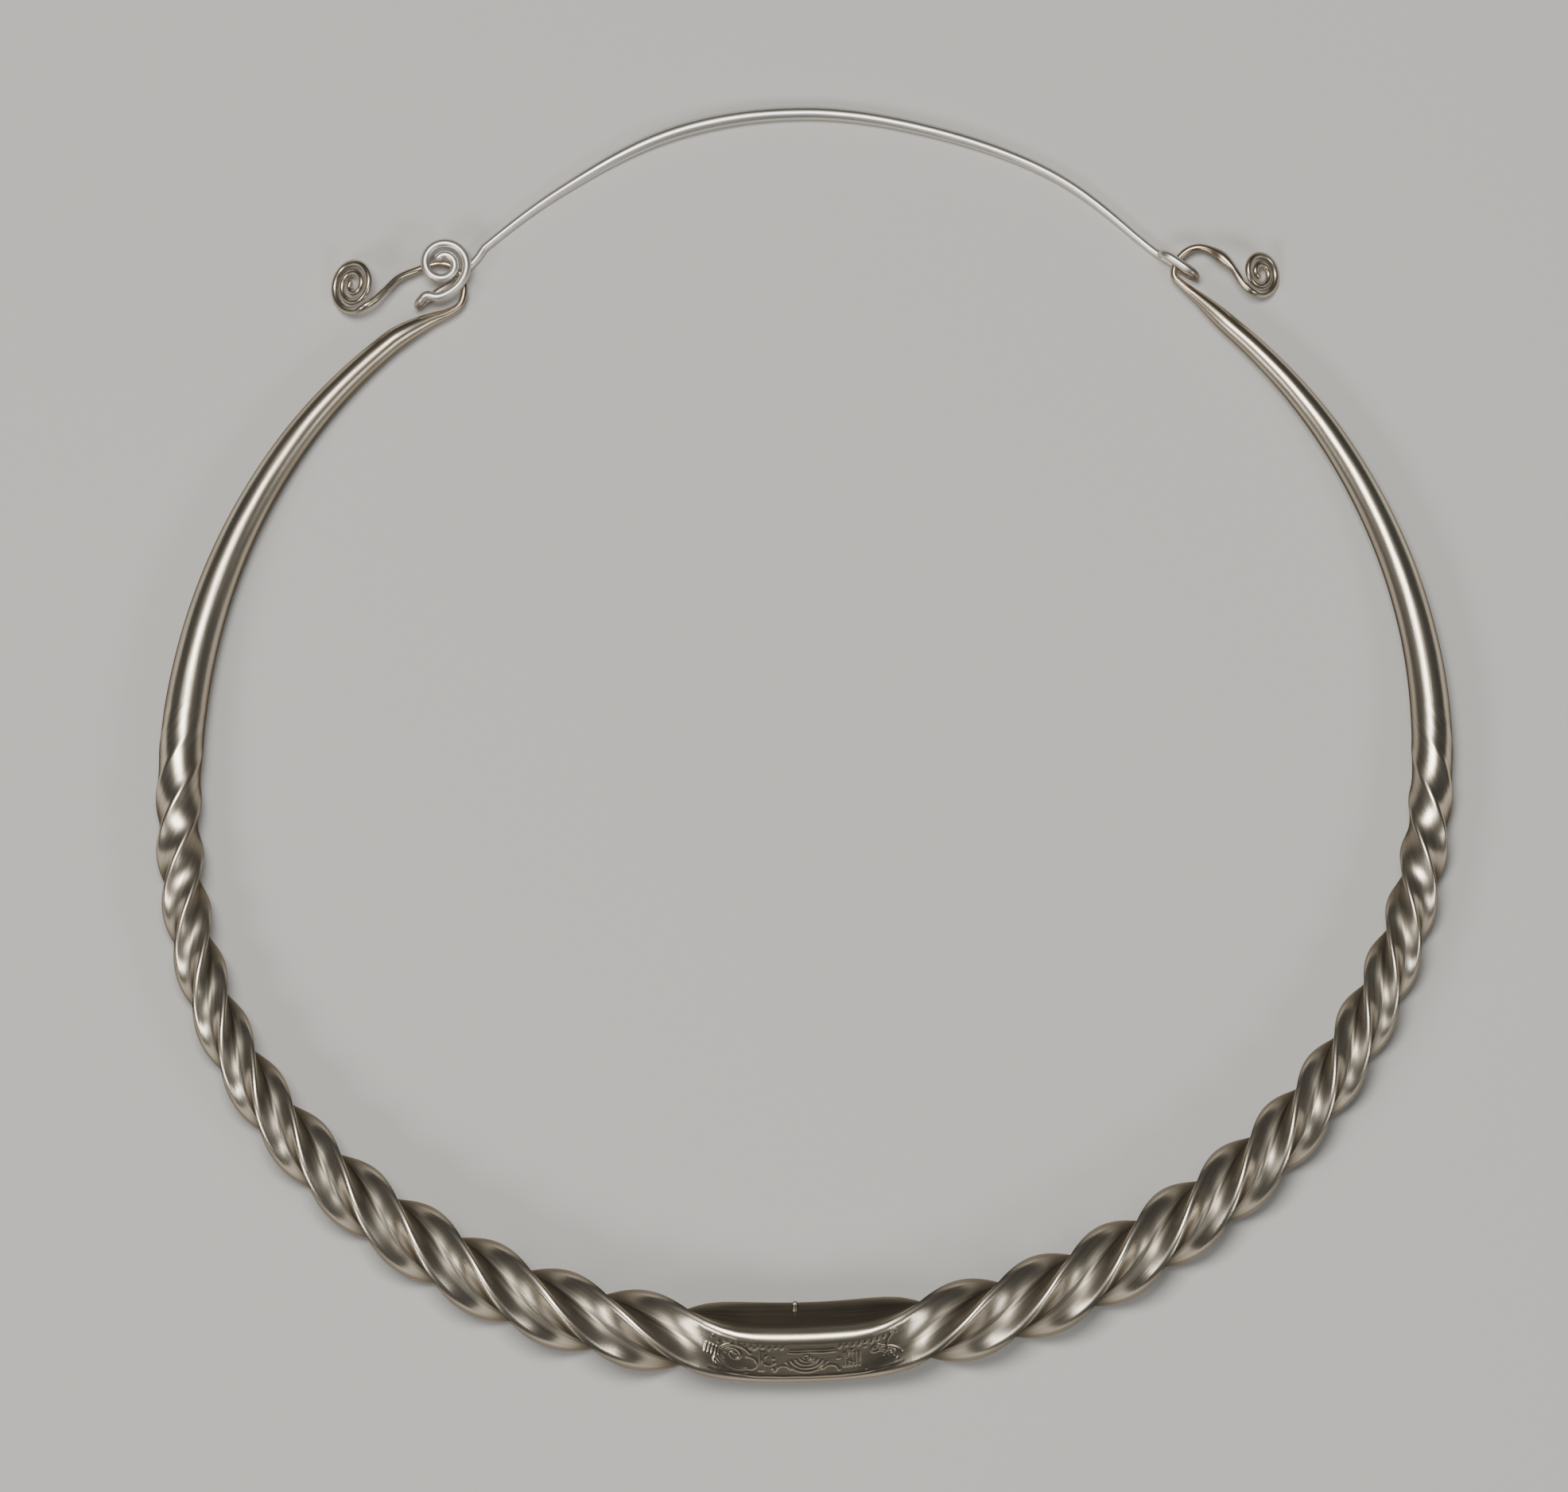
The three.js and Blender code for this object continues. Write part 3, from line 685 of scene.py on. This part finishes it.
def engrave(piece):
    """Cuts the panel's outer upper face finely, and sinks the strokes into it."""
    bm = bmesh.new()
    bm.from_mesh(piece.data)
    layers = bm.verts.layers.float
    around, along, across = layers["around"], layers["along"], layers["face_across"]
    reach = ENGRAVED_RUN * MM

    def on_face(vert):
        return vert[around] <= OUTER_FACE_END + HAIR and abs(vert[along]) < reach

    faces = [f for f in bm.faces if len(f.verts) == 4 and all(on_face(v) for v in f.verts)
             and max(v[around] for v in f.verts) - min(v[around] for v in f.verts) < 0.1
             and max(abs(v[across]) for v in f.verts) < FLAT_REACH * MM]
    edges = list({e for f in faces for e in f.edges})
    bmesh.ops.subdivide_edges(bm, edges=edges, cuts=ENGRAVING_CUTS, use_grid_fill=True)
    bm.normal_update()
    scribed = layers["scribed"]
    verts = [v for v in bm.verts if on_face(v) and abs(v[across]) < STROKE_REACH * MM]
    spots = np.array([(v[along], v[across]) for v in verts]) / MM
    cut = np.zeros(len(verts))
    for stroke in panel_strokes():
        cut = np.maximum(cut, np.exp(-(nearness(spots, stroke) / STROKE_WIDTH) ** 2))
    for dot in PANEL_DOTS:
        off = np.linalg.norm(spots - np.array(dot), axis=1)
        cut = np.maximum(cut, np.exp(-(off / DOT_SIZE) ** 2))
    worn = 0.72 + 0.28 * np.sin(spots[:, 0] * 1.7 + 0.6) * np.sin(spots[:, 1] * 2.3 + 1.1)
    inside = np.clip((FLAT_REACH - np.abs(spots[:, 1])) / STROKE_FADE, 0, 1)
    cut = cut * worn * inside
    moves = [(v, v.normal.copy(), c) for v, c in zip(verts, cut) if c > LEAST_CUT]
    for vert, normal, amount in moves:
        vert.co -= normal * float(amount) * STROKE_DEPTH * MM
        vert[scribed] = max(vert[scribed], float(amount))
    many_sided = [f for f in bm.faces if len(f.verts) > 4]
    bmesh.ops.triangulate(bm, faces=many_sided, ngon_method="BEAUTY")
    bm.to_mesh(piece.data)
    bm.free()


PEG_ANGLE = -1.0
PEG_INSET = 4.2
PEG_RISE = 1.6
PEG_SIDES = 20
PEG_PROFILE = [(-0.9, 0.5), (-0.3, 0.85), (0.05, 0.82), (0.25, 0.6), (0.5, 0.46), (1.5, 0.42),
               (1.8, 0.37), (1.93, 0.26), (1.98, 0.08)]  # height and radius


def peg(piece):
    """The tiny peg on the panel's inner face, added to the bar."""
    outward = bar_point(PEG_ANGLE) * (1, 1, 0)
    outward = outward / np.linalg.norm(outward)
    way = -outward + np.array([0, 0, 1.0])
    way = way / np.linalg.norm(way)
    foot = bar_point(PEG_ANGLE) + outward * -PEG_INSET + np.array([0, 0, PEG_RISE])
    side = np.cross(way, outward)
    side = side / np.linalg.norm(side)
    other = np.cross(way, side)
    bm = bmesh.new()
    bm.from_mesh(piece.data)
    rings = []
    for height, radius in PEG_PROFILE:
        ring = []
        for k in range(PEG_SIDES):
            turn = math.tau * k / PEG_SIDES
            spot = foot + way * height + radius * (side * math.cos(turn) + other * math.sin(turn))
            ring.append(bm.verts.new((spot * MM).tolist()))
        rings.append(ring)
    for low, high in zip(rings, rings[1:]):
        for k in range(PEG_SIDES):
            after = (k + 1) % PEG_SIDES
            bm.faces.new((low[k], low[after], high[after], high[k]))
    bm.faces.new(rings[0][::-1])
    bm.faces.new(rings[-1])
    bm.to_mesh(piece.data)
    bm.free()


# Where painted shade falls: on the surface that faces the neck, and on the steep sides and
# undersides.
INNER_START, INNER_RANGE = 0.30, 0.45
STEEP_START, STEEP_RANGE = 0.18, 0.50
ROUND_SHADE_SHARE = 0.3  # a round part's inner side gets this share of the painted shade, and a square part's all of it
THIN_SHADE_SHARE = 0.35  # a thin wire gets this share of the painted shade that the stout bar gets
THIN_WIRE, STOUT_RANGE = 1.5, 2.5


def eased_in(part):
    return part * part * (3 - 2 * part)


def mark_painted_shade(piece):
    """Marks the surface that faces the neck, and the steep sides and undersides, for painted shade:
    darker and rougher than the top.
    """
    mesh = piece.data
    count = len(mesh.vertices)
    spots, normals = np.empty(count * 3), np.empty(count * 3)
    mesh.vertices.foreach_get("co", spots)
    mesh.vertices.foreach_get("normal", normals)
    spots, normals = spots.reshape(-1, 3), normals.reshape(-1, 3)
    outward = spots[:, :2] / np.linalg.norm(spots[:, :2], axis=1)[:, None]
    inner = -(normals[:, :2] * outward).sum(axis=1)
    inner = np.clip((inner - INNER_START) / INNER_RANGE, 0, 1)
    steep = 1 - np.clip((normals[:, 2] - STEEP_START) / STEEP_RANGE, 0, 1)
    square, thickness = np.empty(count), np.empty(count)
    mesh.attributes["square"].data.foreach_get("value", square)
    mesh.attributes["thickness"].data.foreach_get("value", thickness)
    inner = eased_in(inner) * (ROUND_SHADE_SHARE + (1 - ROUND_SHADE_SHARE) * square)
    stout = np.clip((thickness / MM - THIN_WIRE) / STOUT_RANGE, 0, 1)
    shade_share = (THIN_SHADE_SHARE + (1 - THIN_SHADE_SHARE) * stout) * (thickness > 0)
    painted_shade = np.maximum(inner, eased_in(steep)) * shade_share
    layer = mesh.attributes.new("painted_shade", "FLOAT", "POINT")
    layer.data.foreach_set("value", painted_shade.astype(np.float32))


def finish_mesh(piece, silver):
    """Faces outwards and smooth, with no path data that the finish doesn't read."""
    bm = bmesh.new()
    bm.from_mesh(piece.data)
    bmesh.ops.recalc_face_normals(bm, faces=bm.faces)
    for f in bm.faces:
        f.smooth = True
        f.material_index = 0
    bm.to_mesh(piece.data)
    bm.free()
    mark_painted_shade(piece)
    for name in ("middle", "up", "out", "thickness", "ridge", "hollow", "crease", "turn", "around",
                 "near_panel", "square", "along", "face_across"):
        layer = piece.data.attributes.get(name)
        if layer:
            piece.data.attributes.remove(layer)
    piece.data.materials.clear()
    piece.data.materials.append(silver)


# ---- The finishes ----------------------------------------------------------------------------

HOLLOW_FALL = 1.6  # how fast dirt thins out from the middle of a hollow
HOLLOW_DIRT = 0.62
INNER_SHADE_DARKNESS = 0.62
BRUSHING = 0.8
BLOOM_TONE = 0.25
BRUSHED_TONE = 0.3
RUBBED_TONE = 0.5
STAIN_EVEN = 0.45
STAIN_CLOUDED = 0.5
CREST_CLEAN = 0.55
SCRIBED_DARK = 0.55
DIRT_AND_SHADE_ROUGHNESS = 0.3
BLOOM_ROUGHNESS = 0.05
DULL_ROUGHNESS = 0.15
DIRT_AND_SHADE_COVER = 0.45  # how much of the metal the thickest dirt and painted shade hide
EDGE_TINT = (0.50, 0.46, 0.41, 1)
RELIEF_STRENGTH = 0.22
RELIEF_HEIGHT = 0.00006


def group(name, inputs, outputs):
    tree = bpy.data.node_groups.new(name, "ShaderNodeTree")
    for label, value in inputs.items():
        socket = tree.interface.new_socket(label, in_out="INPUT", socket_type="NodeSocketFloat")
        socket.default_value = value
    for label in outputs:
        tree.interface.new_socket(label, in_out="OUTPUT", socket_type="NodeSocketFloat")
    sums = Sums(tree)
    return tree, sums, sums.node("NodeGroupInput").outputs, sums.node("NodeGroupOutput").inputs


def noise(sums, scale, detail, stretch=(1, 1, 1)):
    """Noise on the piece's own coordinates."""
    where = sums.node("ShaderNodeTexCoord").outputs["Object"]
    sized = sums.node("ShaderNodeMapping")
    sized.inputs["Scale"].default_value = stretch
    sums.tree.links.new(where, sized.inputs["Vector"])
    made = sums.node("ShaderNodeTexNoise")
    sums.tree.links.new(sized.outputs[0], made.inputs["Vector"])
    sums.feed(made.inputs["Scale"], scale)
    made.inputs["Detail"].default_value = detail
    return made.outputs[0]


def bar_noise(sums, fineness, run, detail):
    """Noise drawn out along the bar or the wire, that follows its twist."""
    place = sums.node("ShaderNodeAttribute", attribute_name="bar_place").outputs["Vector"]
    sized = sums.node("ShaderNodeMapping")
    sized.inputs["Scale"].default_value = (fineness, fineness, run)
    sums.tree.links.new(place, sized.inputs["Vector"])
    made = sums.node("ShaderNodeTexNoise")
    sums.tree.links.new(sized.outputs[0], made.inputs["Vector"])
    made.inputs["Scale"].default_value = 1.0
    made.inputs["Detail"].default_value = detail
    return made.outputs[0]


def ramp(sums, value, low, high):
    made = sums.node("ShaderNodeMapRange", interpolation_type="SMOOTHSTEP")
    sums.feed(made.inputs["Value"], value)
    made.inputs["From Min"].default_value = low
    made.inputs["From Max"].default_value = high
    return made.outputs[0]


def tarnish_and_shade_group():
    """Dark patina where its depth is high, as in the hollows, and painted shade on the panel's
    inner face; both thin out unevenly.
    """
    tree, sums, given, put = group(
        "Tarnish and painted shade", {"Depth": 0.0, "Amount": 1.0, "Mottle": 57.0}, ["Mask", "Bloom"])
    s = sums.sum
    uneven = s("SUBTRACT", bar_noise(sums, fineness=800.0, run=55.0, detail=3.0), 0.5)
    broken = s("ADD", given["Depth"], s("MULTIPLY", uneven, 0.55))
    dirty = ramp(sums, broken, low=0.30, high=0.95)
    sums.feed(put["Mask"], s("MULTIPLY", dirty, given["Amount"], clamp=True))
    cloud = noise(sums, given["Mottle"], detail=3.0)
    sums.feed(put["Bloom"], ramp(sums, cloud, low=0.38, high=0.68))
    return tree


def scratch_group():
    """Fine scratches and pits from handling."""
    tree, sums, given, put = group("Handling scratches", {"Scale": 900.0, "Depth": 1.0}, ["Height"])
    s = sums.sum
    long_ones = noise(sums, given["Scale"], detail=2.0, stretch=(1, 0.12, 0.5))
    cross_ones = noise(sums, given["Scale"], detail=2.0, stretch=(0.12, 1, 0.5))
    pits = noise(sums, s("MULTIPLY", given["Scale"], 1.8), detail=3.0)
    both = s("ADD", s("MULTIPLY", long_ones, 0.4), s("MULTIPLY", cross_ones, 0.35))
    height = s("ADD", both, s("MULTIPLY", pits, 0.35))
    sums.feed(put["Height"], s("MULTIPLY", height, given["Depth"]))
    return tree


def brushing_group():
    """Long fine marks that run along the ridges and the wires."""
    tree, sums, given, put = group("Burnishing marks", {"Depth": 1.0}, ["Height", "Tone"])
    fine = bar_noise(sums, fineness=3400.0, run=120.0, detail=3.0)
    sums.feed(put["Height"], sums.sum("MULTIPLY", fine, given["Depth"]))
    broad = bar_noise(sums, fineness=1500.0, run=60.0, detail=3.0)
    sums.feed(put["Tone"], ramp(sums, broad, low=0.36, high=0.64))
    return tree


def colour_mix(sums, part, a, b):
    made = sums.node("ShaderNodeMix", data_type="RGBA")
    sums.feed(made.inputs["Factor"], part)
    for socket, value in ((made.inputs[6], a), (made.inputs[7], b)):
        if isinstance(value, tuple):
            socket.default_value = (*value, 1.0)
        else:
            sums.tree.links.new(value, socket)
    return made.outputs[2]


def silver_material(name, tarnish_and_shade, scratches, brushing, clean, dull, painted_shade_colour, dark, brown, gloss,
                    amount, grain, shade):
    material = bpy.data.materials.new(name)
    material.use_nodes = True
    tree = material.node_tree
    shader = tree.nodes["Principled BSDF"]
    sums = Sums(tree)
    s = sums.sum

    def attribute(label):
        return sums.node("ShaderNodeAttribute", attribute_name=label).outputs["Fac"]

    hollows = s("MULTIPLY", s("POWER", attribute("deep"), HOLLOW_FALL), HOLLOW_DIRT)
    # Dirt in the hollows, with painted shade added on the panel's inner face near the panel.
    depth = s("ADD", hollows, s("MULTIPLY", attribute("painted_inner_shade"), INNER_SHADE_DARKNESS))
    dirt_and_shade = sums.node("ShaderNodeGroup", node_tree=tarnish_and_shade)
    sums.feed(dirt_and_shade.inputs["Depth"], depth)
    dirt_and_shade.inputs["Amount"].default_value = amount
    marks = sums.node("ShaderNodeGroup", node_tree=scratches)
    marks.inputs["Scale"].default_value = grain
    strokes = sums.node("ShaderNodeGroup", node_tree=brushing)
    strokes.inputs["Depth"].default_value = BRUSHING
    bloom, mask = dirt_and_shade.outputs["Bloom"], dirt_and_shade.outputs["Mask"]

    def share(label, amount):
        return s("MULTIPLY", attribute(label), amount, clamp=True)

    tone = s("ADD", s("MULTIPLY", bloom, BLOOM_TONE),
             s("MULTIPLY", strokes.outputs["Tone"], BRUSHED_TONE))
    body = colour_mix(sums, tone, clean, dull)
    body = colour_mix(sums, share("rubbed", RUBBED_TONE), body, dull)
    # Painted shade on the surface that faces the neck and on the steep sides and undersides.
    body = colour_mix(sums, share("painted_shade", shade), body, painted_shade_colour)
    spread = share("brown", s("ADD", STAIN_EVEN, s("MULTIPLY", bloom, STAIN_CLOUDED)))
    body = colour_mix(sums, spread, body, brown)
    body = colour_mix(sums, share("crest", CREST_CLEAN), body, clean)
    body = colour_mix(sums, share("scribed", SCRIBED_DARK), body, dark)
    # Dark dirt in the hollows, and painted shade on the panel's inner face.
    body = colour_mix(sums, mask, body, dark)
    tree.links.new(body, shader.inputs["Base Color"])
    rough = s("ADD", gloss, s("MULTIPLY", mask, DIRT_AND_SHADE_ROUGHNESS))
    rough = s("ADD", rough, s("MULTIPLY", bloom, BLOOM_ROUGHNESS))
    rough = s("ADD", rough, s("MULTIPLY", attribute("painted_shade"), DULL_ROUGHNESS))
    tree.links.new(rough, shader.inputs["Roughness"])
    shader.inputs["Specular Tint"].default_value = EDGE_TINT
    metal = s("SUBTRACT", 1.0, s("MULTIPLY", mask, DIRT_AND_SHADE_COVER))
    tree.links.new(metal, shader.inputs["Metallic"])
    bump = sums.node("ShaderNodeBump")
    bump.inputs["Strength"].default_value = RELIEF_STRENGTH
    bump.inputs["Distance"].default_value = RELIEF_HEIGHT
    relief = s("ADD", marks.outputs["Height"], strokes.outputs["Height"])
    tree.links.new(relief, bump.inputs["Height"])
    tree.links.new(bump.outputs["Normal"], shader.inputs["Normal"])
    return material


# ---- The two pieces --------------------------------------------------------------------------

tarnish_and_shade = tarnish_and_shade_group()
scratches = scratch_group()
brushing = brushing_group()
torc_silver = silver_material(
    "Old twisted silver", tarnish_and_shade, scratches, brushing, clean=(0.85, 0.76, 0.62),
    dull=(0.40, 0.34, 0.255), painted_shade_colour=(0.085, 0.071, 0.052), dark=(0.022, 0.020, 0.015),
    brown=(0.34, 0.24, 0.15), gloss=0.27, amount=0.9, grain=900.0, shade=0.92)
link_silver = silver_material(
    "Bright link wire", tarnish_and_shade, scratches, brushing, clean=(0.94, 0.91, 0.86),
    dull=(0.74, 0.69, 0.62), painted_shade_colour=(0.20, 0.18, 0.15), dark=(0.05, 0.045, 0.035),
    brown=(0.30, 0.18, 0.12), gloss=0.36, amount=0.8, grain=1200.0, shade=0.75)

sweep = sweep_tree()
stations, start = torc_stations()
torc = swept(path_object("silver_torc", stations, start), sweep, torc_silver, Sides=BAR_SIDES,
             **{"Ridge Softness": 0.022, "Crease Depth": 0.07 * MM, "Crease Width": 0.17 * MM,
                "Hammer Depth": 0.012})
engrave(torc)
peg(torc)
stations, start = link_stations()
link = swept(path_object("link_wire", stations, start), sweep, link_silver, Sides=LINK_SIDES,
             **{"Ridge Softness": 0.05, "Crease Depth": 0.0, "Crease Width": 0.22 * MM,
                "Hammer Depth": 0.02})


def place_pieces():
    """Moves both meshes together to where the frame's torc lies."""
    low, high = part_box("torc")
    spots = np.empty(len(torc.data.vertices) * 3)
    torc.data.vertices.foreach_get("co", spots)
    spots = spots.reshape(-1, 3)
    x = (low.x + high.x - spots[:, 0].min() - spots[:, 0].max()) / 2
    y = (low.y + high.y - spots[:, 1].min() - spots[:, 1].max()) / 2
    for piece in (torc, link):
        moved = np.empty(len(piece.data.vertices) * 3)
        piece.data.vertices.foreach_get("co", moved)
        moved = moved.reshape(-1, 3) + (x, y, 0.0)
        piece.data.vertices.foreach_set("co", moved.ravel())
        piece.data.update()


place_pieces()
for piece, silver, node, slot in ((torc, torc_silver, "torc", "torc_silver"),
                                  (link, link_silver, "back_link", "link_silver")):
    finish_mesh(piece, silver)
    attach(piece, "root")
    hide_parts(node)


# ---- The studio ------------------------------------------------------------------------------

FLOOR_REACH = 3
AIR_STRENGTH = 0.05
CAMERA_DISTANCE = 1.6
CAMERA_LEAN = 10.0  # degrees from straight down
LENS = 250.6
LENS_SHIFT = (-0.0131846, -0.0030426)


def studio_floor():
    mesh = bpy.data.meshes.new("Floor")
    corners = [(x * FLOOR_REACH, y * FLOOR_REACH, 0)
               for x, y in ((-1, -1), (1, -1), (1, 1), (-1, 1))]
    mesh.from_pydata(corners, [], [(0, 1, 2, 3)])
    floor = bpy.data.objects.new("Floor", mesh)
    bpy.context.scene.collection.objects.link(floor)
    paper = bpy.data.materials.new("Pale paper")
    paper.use_nodes = True
    shader = paper.node_tree.nodes["Principled BSDF"]
    shader.inputs["Base Color"].default_value = (0.78, 0.77, 0.75, 1)
    shader.inputs["Roughness"].default_value = 0.9
    mesh.materials.append(paper)


def soft_light(name, place, size, power, tint=(1, 1, 1)):
    lamp = bpy.data.lights.new(name, "AREA")
    lamp.shape = "RECTANGLE"
    lamp.size, lamp.size_y = size
    lamp.energy = power
    lamp.color = tint
    holder = bpy.data.objects.new(name, lamp)
    bpy.context.scene.collection.objects.link(holder)
    holder.location = place
    way = -holder.location.normalized()
    holder.rotation_euler = way.to_track_quat("-Z", "Y").to_euler()


def studio():
    studio_floor()
    soft_light("Overhead", (-0.16, 0.16, 1.5), (0.62, 0.50), 15.0, (1.0, 0.97, 0.92))
    soft_light("Front left", (-0.85, -0.75, 0.85), (0.6, 0.35), 5.0, (1.0, 0.98, 0.95))
    soft_light("Front right", (0.85, -0.65, 0.75), (0.45, 0.3), 2.5)
    world = bpy.data.worlds.new("Studio air")
    bpy.context.scene.world = world
    world.use_nodes = True
    air = world.node_tree.nodes["Background"]
    air.inputs["Color"].default_value = (0.9, 0.95, 1.0, 1)
    air.inputs["Strength"].default_value = AIR_STRENGTH


def camera():
    """From above the ring, leaning a little towards the panel."""
    lens = bpy.data.cameras.new("Camera")
    lens.sensor_width = 36
    lens.lens = LENS
    lens.shift_x, lens.shift_y = LENS_SHIFT
    lens.clip_end = 20
    holder = bpy.data.objects.new("Camera", lens)
    bpy.context.scene.collection.objects.link(holder)
    tilt = math.radians(90 - CAMERA_LEAN)
    holder.location = (0, -CAMERA_DISTANCE * math.cos(tilt), CAMERA_DISTANCE * math.sin(tilt))
    holder.rotation_euler = (math.radians(CAMERA_LEAN), 0, 0)
    bpy.context.scene.camera = holder


studio()
camera()
